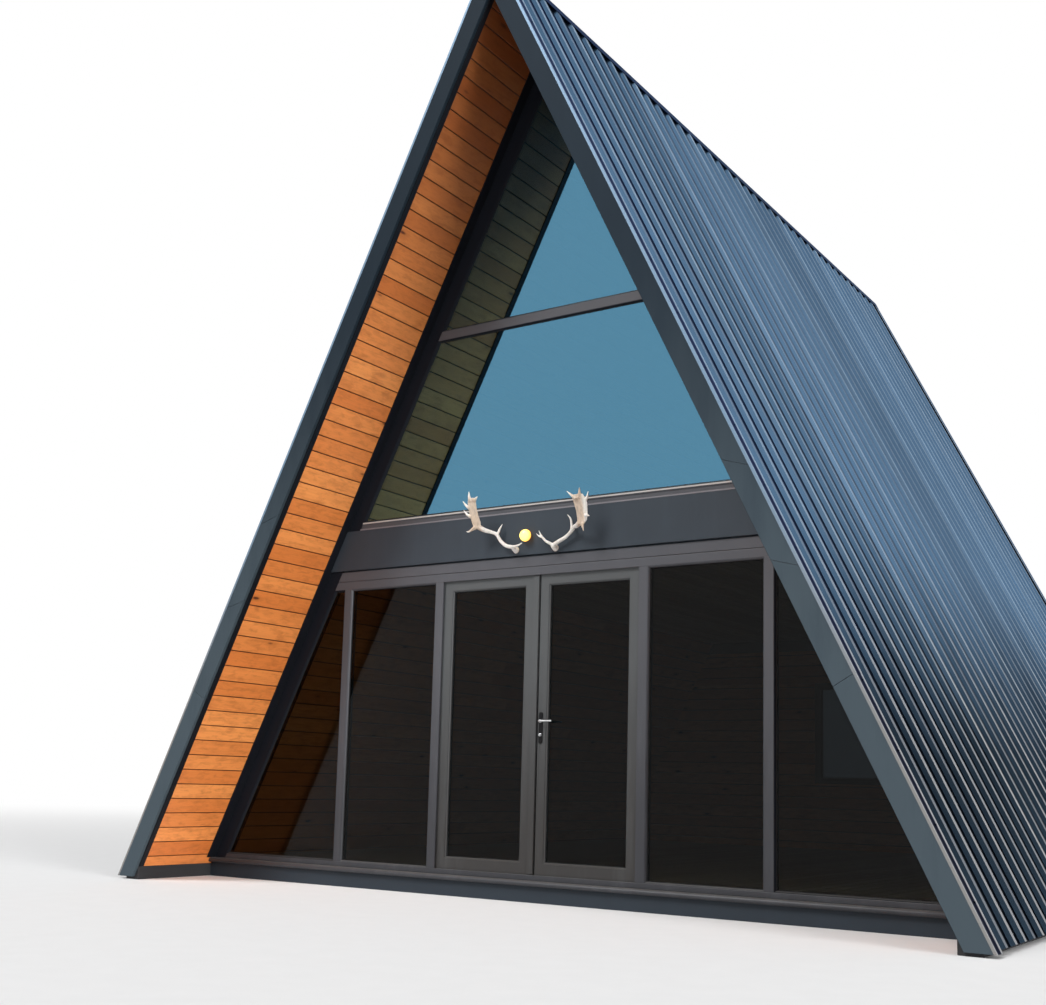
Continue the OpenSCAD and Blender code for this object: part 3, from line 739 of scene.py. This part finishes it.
def rear_wall(node, seed):
    pile = Pile(seed)
    wall_rows(pile, node, REAR_Y, REAR_Y - LINING_T)
    wall_rows(pile, node, REAR_IN_Y, REAR_IN_Y + LINING_T)
    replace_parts(pile.build(node + "_boards", STAINED, slot="stained_boards"), node)
    low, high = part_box(node)
    z0, z1, half = REAR_WINDOWS[node]
    core = Pile(seed + 1)
    wall_core(core, low.z, z0, None, None)
    wall_core(core, z1, min(high.z, WALL_TOP), None, None)
    wall_core(core, z0, z1, None, -half)
    wall_core(core, z0, z1, half, None)
    core.build(node + "_core", CORE, slot="roof_core")


rear_wall("rear_wall_lower", 41)
rear_wall("rear_wall_upper", 47)

# Fascias in cut lengths; each joint is given by its place up the slope at the roof and at the soffit
FASCIA_JOINTS = ((1.630, 1.620), (2.310, 2.440), (3.000, 3.140))


def fascia(side, y0, y1, node, seed):
    foot_z = 0.020

    def foot(off):
        return (foot_z + off * COS) / SIN

    def apex(off):
        return (HALF_W - off * SIN) / COS

    def cut(joint, shift):
        return lambda off: joint[0] + (joint[1] - joint[0]) * off / ROOF_T + shift

    pile = Pile(seed)
    gap = 0.001
    starts = [foot] + [cut(joint, gap) for joint in FASCIA_JOINTS]
    stops = [cut(joint, -gap) for joint in FASCIA_JOINTS] + [apex]
    profile = [(0.0, y0, 0.0), (ROOF_T, y0, 0.0), (ROOF_T, y1, 0.0), (0.0, y1, 0.0)]
    for start, stop in zip(starts, stops):
        pile.board(profile, [
            lambda off, y, end=end: on_slope(side, end(off), off, y)
            for end in (start, stop)
        ])
    made = pile.build(node + "_lengths", FASCIA, slot="fascia_paint")
    round_edges(made, 0.0018)
    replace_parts(made, node)


for hand, sign in (("left", -1), ("right", 1)):
    fascia(sign, FRONT_Y, FASCIA_BACK_Y, "front_fascia_" + hand, 53 + sign)
    fascia(sign, REAR_END_Y - FASCIA_T, REAR_END_Y, "rear_fascia_" + hand, 57 + sign)


# Panes: glazing beads and rubber seals
def inset(outline, d):
    """The corners of a convex outline moved in by d, square to each edge."""
    ring = [Vector(p) for p in outline]
    following = ring[1:] + ring[:1]
    area = sum(p.cross(q) for p, q in zip(ring, following))
    turn = 1 if area > 0 else -1
    edges = []
    for p, q in zip(ring, following):
        way = (q - p).normalized()
        edges.append((p + Vector((-way.y, way.x)) * d * turn, way))
    corners = []
    for i, (q, v) in enumerate(edges):
        p, u = edges[i - 1]
        corners.append(p + u * ((q - p).cross(v) / u.cross(v)))
    return corners


def glazing_ring(pile, outline, profile):
    """A mitred ring round a pane; profile holds (inset, y)."""
    loops = [[Vector((c.x, y, c.y)) for c in inset(outline, d)] for d, y in profile]
    pile.loft([[loop[i] for loop in loops] for i in range(len(outline))], True)


def glaze(name, outlines, planes, body, material, slot):
    """Beads and seals on both faces of the panes; planes holds frame, glass, glass and frame faces."""
    beads, seals = Pile(), Pile()
    bead_w, bead_foot, set_back, slack = 0.010, 0.006, 0.004, 0.0002
    seal_w, seal_h, seal_mid = 0.005, 0.005, 0.0035
    front, glass_front, glass_back, back = planes
    for outline in outlines:
        for face, pane, out in ((front, glass_front, -1), (back, glass_back, 1)):
            shy = face - out * set_back
            glazing_ring(beads, outline, [
                (slack, pane), (slack, shy), (bead_w * 0.45, shy),
                (bead_w, pane + out * bead_foot), (bead_w, pane),
            ])
            glazing_ring(seals, outline, [
                (bead_w, pane), (bead_w, pane + out * seal_h),
                (bead_w + seal_w * 0.6, pane + out * seal_mid), (bead_w + seal_w, pane),
            ])
    beads.build(name + "_beads", material, body, slot)
    seals.build(name + "_seals", SEAL, body, "black_trim")


def mirrored(outline):
    return [(-x, z) for x, z in outline]


def front_panes():
    """Upright and sloping panes of the glazed wall."""
    in_x, out_x = DOOR_HALF + JAMB_W, OUTER_X + OUTER_W
    upright = [(in_x, GLASS_Z0), (OUTER_X, GLASS_Z0), (OUTER_X, HEAD_Z0), (in_x, HEAD_Z0)]
    slanted = [
        (out_x, GLASS_Z0), (plane_x(GLASS_Z0, BUTT_OFF), GLASS_Z0),
        (plane_x(HEAD_Z0, BUTT_OFF), HEAD_Z0), (out_x, HEAD_Z0),
    ]
    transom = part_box("gable_transom")
    z0, z1, z2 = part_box("gable_sill")[1].z, transom[0].z, transom[1].z
    x0, x1, x2 = (plane_x(z, BUTT_OFF) for z in (z0, z1, z2))
    lower = [(-x0, z0), (x0, z0), (x1, z1), (-x1, z1)]
    upper = [(-x2, z2), (x2, z2), (0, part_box("gable_glass")[1].z)]
    return [upright, mirrored(upright)], [slanted, mirrored(slanted), lower, upper]


FRONT_PLANES = (WALL_Y, GLASS_Y, GLASS_BACK_Y, WALL_BACK_Y)
upright_panes, sloping_panes = front_panes()
glaze("front_wall", upright_panes, FRONT_PLANES, "cabin", FRAME, "frame_paint")
glaze("front_slopes", sloping_panes, FRONT_PLANES, "cabin", RAFTER, "rafter_paint")


def square_pane(x0, z0, x1, z1):
    return [(x0, z0), (x1, z0), (x1, z1), (x0, z1)]


for hand in ("left", "right"):
    low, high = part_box("door_%s_glass" % hand)
    glaze("door_" + hand, [square_pane(low.x, low.z, high.x, high.z)],
          (LEAF_Y, low.y, high.y, LEAF_Y + LEAF_T), "door_" + hand, DOOR, "door_paint")


def rear_glazing():
    rear_frame_w = 0.060
    panes = []
    for z0, z1, half in REAR_WINDOWS.values():
        x = half - rear_frame_w
        panes.append(square_pane(-x, z0 + rear_frame_w, x, z1 - rear_frame_w))
    frames, glass_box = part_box("rear_windows"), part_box("rear_glass")
    planes = (frames[0].y, glass_box[0].y, glass_box[1].y, frames[1].y)
    glaze("rear_windows", panes, planes, "cabin", FRAME, "frame_paint")


rear_glazing()


# Pale capping strips on the two noses of the upper glazing's bottom member
def nosing(name, z0, z1, material):
    proud, slack = 0.0025, 0.0002
    pile = Pile()
    ends = [(-1, plane_x(z1, BUTT_OFF)), (1, plane_x(z1, BUTT_OFF))]
    out, back = WALL_Y - proud, WALL_Y - slack
    profile = [(out, z0), (out, z1), (back, z1), (back, z0)]
    pile.loft([[Vector((sign * x, y, z)) for y, z in profile] for sign, x in ends])
    made = pile.build(name, material, slot="trim_metal")
    round_edges(made, 0.0008)


SILL_LOW, SILL_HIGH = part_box("gable_sill")
nosing("sill_nosing_top", SILL_HIGH.z - 0.012, SILL_HIGH.z - 0.001, NOSING)
nosing("sill_nosing_low", SILL_LOW.z + 0.004, SILL_LOW.z + 0.014, LOW_NOSING)


# Screws of the roof, on their washers
def screw(pile, place, normal, size=1.0):
    """Hexagon head on a domed washer; place is on the surface."""
    turn = normal.to_track_quat("Z", "Y").to_matrix()
    spin = pile.draw.uniform(0, math.pi)

    def ring(radius, height, sides):
        return [
            place + turn @ Vector((radius * c, radius * s, height)) * size
            for c, s in circle(sides, spin)
        ]

    pile.loft([ring(0.0095, -0.001, 12), ring(0.0095, 0.0012, 12), ring(0.006, 0.0026, 12)])
    pile.loft([ring(0.0048, 0.0024, 6), ring(0.0048, 0.0072, 6), ring(0.0038, 0.008, 6)])


def roof_screws(side, name):
    """Rows of screws in the pans over the battens, and one line along each verge."""
    pile = Pile(61 if side < 0 else 67)
    batten_step, first_batten, top_gap, pan_size = 0.86, 0.30, 0.15, 0.8
    verge_step, verge_y, verge_gap, verge_size = 0.43, 0.060, 0.20, 0.7
    jitter, wing_off = 0.005, -0.002
    normal = Vector((side * SIN, 0, COS))
    rows = int((SLOPE_LEN - top_gap - first_batten) / batten_step) + 1
    for row in range(rows):
        s = first_batten + row * batten_step
        for bay in range(RIB_BAYS):
            if (bay + row) % 2 and 0 < row < rows - 1:
                continue
            y = FRONT_Y + EDGE_STRIP + (bay + 0.5) * RIB_PITCH + pile.draw.uniform(-jitter, jitter)
            place = on_slope(side, s + pile.draw.uniform(-jitter, jitter), PAN_OFF, y)
            screw(pile, place, normal, pan_size)
    s = first_batten
    while s < SLOPE_LEN - verge_gap:
        for y in (FRONT_Y + verge_y, REAR_END_Y - verge_y):
            screw(pile, on_slope(side, s, wing_off, y), normal, verge_size)
        s += verge_step
    pile.build("roof_screws_" + name, ROOF, slot="roof_metal", smooth=40)


roof_screws(-1, "left")
roof_screws(1, "right")


# Smooth limbs: tapering tubes through given points, in millimetres
def spline(points, steps):
    """Smooth run through (x, y, z, radius) points."""
    rows = [Vector(p) for p in points]
    ends = [2 * rows[0] - rows[1]] + rows + [2 * rows[-1] - rows[-2]]
    found = []
    for i in range(1, len(ends) - 2):
        a, b, c, d = ends[i - 1:i + 3]
        for k in range(steps):
            t = k / steps
            bend = (2 * a - 5 * b + 4 * c - d) * t * t + (3 * b - a - 3 * c + d) * t * t * t
            found.append(0.5 * (2 * b + (c - a) * t + bend))
    found.append(rows[-1])
    return found


def limb(pile, points, origin=Vector((0, BAND_FACE_Y, 0)), flat=1.0, sides=12, steps=6):
    """Tube through (x, y, z, radius) points, measured in millimetres from origin."""
    run = spline(points, steps)
    rings = []
    for i, p in enumerate(run):
        a, b = run[max(i - 1, 0)], run[min(i + 1, len(run) - 1)]
        turn = (b - a).to_3d().to_track_quat("Z", "Y").to_matrix()
        ring = [Vector((p.w * flat * c, p.w * s, 0)) for c, s in circle(sides)]
        rings.append([origin + (p.to_3d() + turn @ q) / 1000 for q in ring])
    pile.loft(rings)


def palm(pile, rows, thick=8, sides=16):
    """Flat blade through rows of (inner point, outer point), in millimetres from the band's face."""
    origin = Vector((0, BAND_FACE_Y, 0))
    rings = []
    for inner, outer in rows:
        a, b = Vector(inner), Vector(outer)
        middle, half = (a + b) / 2, (b - a) / 2
        face = half.cross(Vector((0, 0.25, 1))).normalized()
        rings.append([origin + (middle + half * c + face * thick * s) / 1000 for c, s in circle(sides)])
    pile.loft(rings)


def antler_left(pile):
    limb(pile, [(-168, 0, 2472, 20), (-172, -24, 2480, 19), (-176, -40, 2490, 15), (-234, -38, 2506, 14),
                (-283, -38, 2545, 13), (-316, -46, 2595, 13), (-359, -62, 2614, 14),
                (-396, -86, 2626, 17), (-436, -108, 2650, 20)])
    limb(pile, [(-180, -42, 2492, 13), (-142, -54, 2492, 10), (-110, -56, 2500, 7), (-80, -56, 2514, 3)])
    limb(pile, [(-310, -44, 2590, 11), (-294, -38, 2634, 8), (-275, -32, 2670, 3)])
    palm(pile, [((-396, -84, 2610), (-410, -94, 2640)), ((-414, -98, 2626), (-462, -130, 2640)),
                ((-407, -118, 2681), (-476, -140, 2684)), ((-415, -138, 2726), (-486, -155, 2738)),
                ((-416, -158, 2773), (-484, -170, 2780)), ((-412, -178, 2827), (-488, -180, 2826)),
                ((-420, -184, 2850), (-478, -186, 2850))])
    limb(pile, [(-452, -124, 2644, 16), (-480, -138, 2622, 9), (-500, -142, 2612, 6),
                (-519, -142, 2617, 3)])
    limb(pile, [(-476, -150, 2720, 13), (-512, -152, 2744, 9), (-543, -150, 2778, 3)])
    limb(pile, [(-478, -168, 2780, 13), (-512, -168, 2808, 9), (-541, -166, 2840, 3)])
    limb(pile, [(-460, -180, 2826, 15), (-468, -188, 2862, 10), (-470, -190, 2900, 3)])
    limb(pile, [(-430, -180, 2826, 14), (-408, -188, 2842, 9), (-391, -190, 2856, 3)])


def antler_right(pile):
    limb(pile, [(165, 0, 2460, 20), (168, -24, 2466, 19), (170, -40, 2477, 15), (219, -38, 2504, 14),
                (276, -38, 2530, 13), (325, -46, 2567, 13), (355, -62, 2590, 14), (390, -86, 2590, 17),
                (430, -108, 2606, 20)])
    limb(pile, [(172, -42, 2478, 13), (136, -52, 2498, 11), (106, -52, 2518, 9), (74, -52, 2556, 7),
                (52, -50, 2593, 3)])
    limb(pile, [(92, -52, 2536, 8), (58, -52, 2550, 6), (32, -50, 2572, 3)])
    limb(pile, [(322, -44, 2566, 11), (320, -40, 2610, 9), (308, -36, 2656, 7), (277, -32, 2689, 3)])
    palm(pile, [((392, -84, 2576), (408, -94, 2606)), ((406, -98, 2592), (472, -130, 2580)),
                ((412, -118, 2629), (508, -140, 2612)), ((414, -138, 2680), (520, -155, 2670)),
                ((410, -158, 2721), (526, -170, 2722)), ((406, -178, 2762), (512, -180, 2762)),
                ((418, -184, 2788), (496, -186, 2786))])
    limb(pile, [(458, -126, 2594, 15), (474, -140, 2560, 8), (481, -142, 2533, 3)])
    limb(pile, [(490, -146, 2640, 13), (512, -150, 2640, 9), (534, -150, 2634, 3)])
    limb(pile, [(500, -166, 2730, 13), (520, -168, 2764, 9), (527, -166, 2806, 3)])
    limb(pile, [(462, -180, 2758, 15), (470, -188, 2796, 10), (470, -190, 2832, 3)])
    limb(pile, [(440, -180, 2756, 14), (404, -188, 2786, 9), (366, -190, 2817, 3)])


def melt(obj, voxel, smooth):
    """Fuses a mesh's overlapping solids into one skin and smooths it."""
    fuse = obj.modifiers.new("fuse", "REMESH")
    fuse.mode = "VOXEL"
    fuse.voxel_size = voxel
    soften = obj.modifiers.new("soften", "SMOOTH")
    soften.factor = 0.6
    soften.iterations = smooth
    bpy.context.view_layer.update()
    solid = obj.evaluated_get(bpy.context.evaluated_depsgraph_get())
    made = bpy.data.meshes.new_from_object(solid)
    obj.modifiers.clear()
    obj.data = made
    made.shade_smooth()


def antlers():
    pile = Pile(71)
    antler_left(pile)
    antler_right(pile)
    for x, z in ((-0.168, 2.474), (0.168, 2.464)):
        lathe(pile, Vector((x, BAND_FACE_Y, z)), -1, [(0.026, 0.0), (0.026, 0.008), (0.020, 0.013)], 20)
    made = pile.build("antler_pair", BONE, slot="bone")
    melt(made, 0.0035, 5)
    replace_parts(made, "antlers")


antlers()


# Small lamp between the antlers
def lamp():
    base, bowl = Pile(), Pile()
    lathe(base, LAMP_CENTRE, -1, [(0.032, 0.0), (0.032, 0.010), (0.030, 0.012), (0.020, 0.014)])
    lathe(bowl, LAMP_CENTRE, -1, [
        (0.030, 0.0125), (0.041, 0.015), (0.044, 0.022), (0.0435, 0.032), (0.040, 0.042), (0.034, 0.050),
        (0.025, 0.057), (0.013, 0.0610), (0.002, 0.062),
    ])
    base.build("wall_light_base", PLATE, slot="plate_metal", smooth=40)
    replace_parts(bowl.build("wall_light_bowl", LAMP, slot="lamp_glass", smooth=50), "wall_light")


lamp()


# Handle: rounded plates, cylinder locks and a slim lever on its rose, outside and inside
def rounded_plate(pile, x0, z0, x1, z1, y0, y1, radius, sides=6):
    ring = []
    for cx, cz, first in ((x1 - radius, z1 - radius, 0), (x0 + radius, z1 - radius, 1),
                          (x0 + radius, z0 + radius, 2), (x1 - radius, z0 + radius, 3)):
        for k in range(sides + 1):
            angle = (first + k / sides) * math.pi / 2
            ring.append((cx + radius * math.cos(angle), cz + radius * math.sin(angle)))
    pile.loft([[Vector((x, y, z)) for x, z in ring] for y in (y0, y1)])


def handle():
    plates, locks, lever = Pile(), Pile(), Pile()
    half_w, drop, rise, plate_t = 0.015, 0.157, 0.063, 0.008
    lock_out, neck_out = 0.022, 0.017
    for way, plane in ((-1, LEAF_Y), (1, LEAF_Y + LEAF_T)):
        centre = Vector((SPINDLE.x, plane, SPINDLE.z))
        rounded_plate(plates, centre.x - half_w, centre.z - drop, centre.x + half_w, centre.z + rise,
                      plane, plane + way * plate_t, half_w * 0.9)
        lathe(locks, centre - Vector((0, 0, LOCK_DROP)), way, [
            (0.011, plate_t - 0.001), (0.011, plate_t + 0.003), (0.0088, plate_t + 0.004),
            (0.0085, lock_out - 0.001), (0.0075, lock_out), (0.001, lock_out),
        ], 28)
        lathe(lever, centre, way, [
            (0.0125, plate_t + 0.0004), (0.0130, plate_t + 0.003), (0.0115, plate_t + 0.007),
            (0.008, neck_out),
        ], 28)
        limb(lever, [
            (0, way * 12, 0, 7.5), (0, way * 26, 0, 7.0), (3, way * 37, 0, 7.2), (14, way * 42, 0, 7.2),
            (50, way * 43, 0, 6.6), (98, way * 42, 0, 6.2), (109, way * 42, 0, 5.2),
            (112, way * 42, 0, 2.0),
        ], centre, 0.85, 16)
    made = plates.build("handle_plates_rounded", PLATE, "door_right", "plate_metal")
    round_edges(made, 0.0018, 3)
    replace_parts(made, "handle_plates")
    locks.build("cylinder_locks", LEVER, "door_right", "lever_steel", 40)
    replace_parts(lever.build("lever_pair", LEVER, "lever", "lever_steel", 40), "door_lever")


handle()


# Material and width of the rounded edges of the construction's own pieces, both hands for a %s
def finish_node(name, material, bevel):
    obj = NODES[name]
    if not obj.data.materials:
        obj.data.materials.append(material)
    for place in obj.material_slots:
        place.link = "OBJECT"
        place.material = material
    if bevel:
        round_edges(obj, bevel)


MATERIALS = {
    "sole_beams": (TIMBER, 0.004), "floor_joists": (RAW, 0.002), "roof_panel_%s": (CORE, 0),
    "roof_sheet_%s": (ROOF, 0), "ridge_cap": (ROOF, 0.0008), "verge_%s": (ROOF, 0.0004),
    "soffit_trim_%s": (BLACK, 0.0015), "front_plinth": (PLINTH, 0.003), "front_sill": (FRAME, 0.002),
    "gable_rafter_%s": (RAFTER, 0.003), "frame_bottom": (FRAME, 0.0025), "frame_head": (FRAME, 0.0025),
    "mullions": (FRAME, 0.0025), "band": (BAND, 0.003), "gable_sill": (FRAME, 0.0015),
    "gable_transom": (FRAME, 0.0025), "ground_glass": (DARK_GLASS, 0), "gable_glass": (BLUE_GLASS, 0),
    "rear_glass": (REAR_GLASS, 0), "rear_plinth": (PLINTH, 0.003), "rear_band": (BAND, 0.003),
    "rear_windows": (FRAME, 0.0025), "jamb_hinges": (STEEL, 0.0008),
    "door_%s_leaf": (DOOR, 0.0025), "door_%s_glass": (DARK_GLASS, 0),
}
for node_name, (material, bevel) in MATERIALS.items():
    for hand in ("left", "right") if "%s" in node_name else ("",):
        finish_node(node_name.replace("%s", hand), material, bevel)


# Floor, background and light
def seen_directly(nodes):
    """1 for camera, mirror and glass rays, 0 for the rest."""
    ray = nodes.node("ShaderNodeLightPath").outputs
    seen = nodes.math("MAXIMUM", ray["Is Camera Ray"], ray["Is Glossy Ray"])
    return nodes.math("MAXIMUM", seen, ray["Is Transmission Ray"])


def world(level):
    """Dim light all round, and white where it is seen."""
    made = bpy.data.worlds.new("studio")
    bpy.context.scene.world = made
    made.use_nodes = True
    nodes = Nodes(made.node_tree)
    dim = (level, level, level * 1.02)
    shown = nodes.mix(seen_directly(nodes), dim, (1, 1, 1))
    nodes.put(nodes.tree.nodes["Background"].inputs["Color"], shown)


def floor():
    """Pale level floor that keeps the shadow and fades into the white background."""
    sides, depth = 96, -0.0005
    radii = (12.0, 40.0, 400.0)
    fade_from, fade_to = 6.0, 27.0
    points = [(0, 0, depth)]
    for radius in radii:
        points += [(radius * c, radius * s, depth) for c, s in circle(sides)]
    faces = []
    for k in range(sides):
        j = (k + 1) % sides
        faces.append((0, 1 + k, 1 + j))
        for r in range(len(radii) - 1):
            a, b = 1 + r * sides, 1 + (r + 1) * sides
            faces.append((a + k, b + k, b + j, a + j))
    mesh = bpy.data.meshes.new("floor")
    mesh.from_pydata(points, [], faces)
    made = new_object("floor", mesh)
    sh = Shader("floor", 0.9)
    away = sh.node("ShaderNodeVectorMath", operation="LENGTH")
    sh.put(away.inputs[0], sh.place())
    fade = sh.step(away.outputs["Value"], fade_from, fade_to)
    speckle = sh.noise(sh.place(), 6.0, 3)
    sh.set("Base Color", sh.mix(speckle, (0.80, 0.80, 0.80), (0.84, 0.84, 0.84)))
    sh.mix_surface(sh.times(seen_directly(sh), fade), sh.node("ShaderNodeEmission"))
    mesh.materials.append(sh.mat)
    made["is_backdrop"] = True


def sun(name, strength, azimuth, elevation, width):
    """Soft lamp far away; azimuth 0 stands in front of the gable, 90 on the right."""
    distance = 30
    light = bpy.data.lights.new(name, "SUN")
    light.energy = strength
    light.angle = math.radians(width)
    made = new_object(name, light)
    a, e = math.radians(azimuth), math.radians(elevation)
    towards = Vector((math.sin(a) * math.cos(e), -math.cos(a) * math.cos(e), math.sin(e)))
    made.rotation_mode = "QUATERNION"
    made.rotation_quaternion = towards.to_track_quat("Z", "Y")
    made.location = towards * distance


world(0.16)
floor()
sun("key", 2.05, 73, 13, 22)
sun("front", 2.3, -25, 47, 24)
sun("sky", 0.7, 45, 45, 40)

# Camera at the photograph's place: the photograph's size, focal length and optical centre in its pixels
PHOTO_W, PHOTO_H = 1046, 1005
FOCAL_PX = 1317.05
CENTRE_PX = (523.08, 602.60)
CAMERA_AT = (5.1141, -10.9889, 0.8077)
YAW, PITCH, ROLL = math.radians(34.058), math.radians(7.8406), math.radians(1.5045)


def camera():
    lens = bpy.data.cameras.new("camera")
    made = new_object("camera", lens)
    forward = Vector((-math.sin(YAW) * math.cos(PITCH), math.cos(YAW) * math.cos(PITCH), math.sin(PITCH)))
    level = Vector((math.cos(YAW), math.sin(YAW), 0))
    upright = level.cross(forward)
    right = math.cos(ROLL) * level + math.sin(ROLL) * upright
    up = math.cos(ROLL) * upright - math.sin(ROLL) * level
    turn = Matrix((right, up, -forward)).transposed()
    made.matrix_world = Matrix.Translation(CAMERA_AT) @ turn.to_4x4()
    lens.sensor_fit = "HORIZONTAL"
    lens.sensor_width = 36
    lens.lens = FOCAL_PX / PHOTO_W * lens.sensor_width
    lens.shift_x = (PHOTO_W / 2 - CENTRE_PX[0]) / PHOTO_W
    lens.shift_y = (CENTRE_PX[1] - PHOTO_H / 2) / PHOTO_W
    lens.clip_start, lens.clip_end = 0.1, 900
    bpy.context.scene.camera = made


camera()
bpy.context.scene.view_settings.view_transform = "Standard"

# Bounds of everything rendered, the floor left out
low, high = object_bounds()
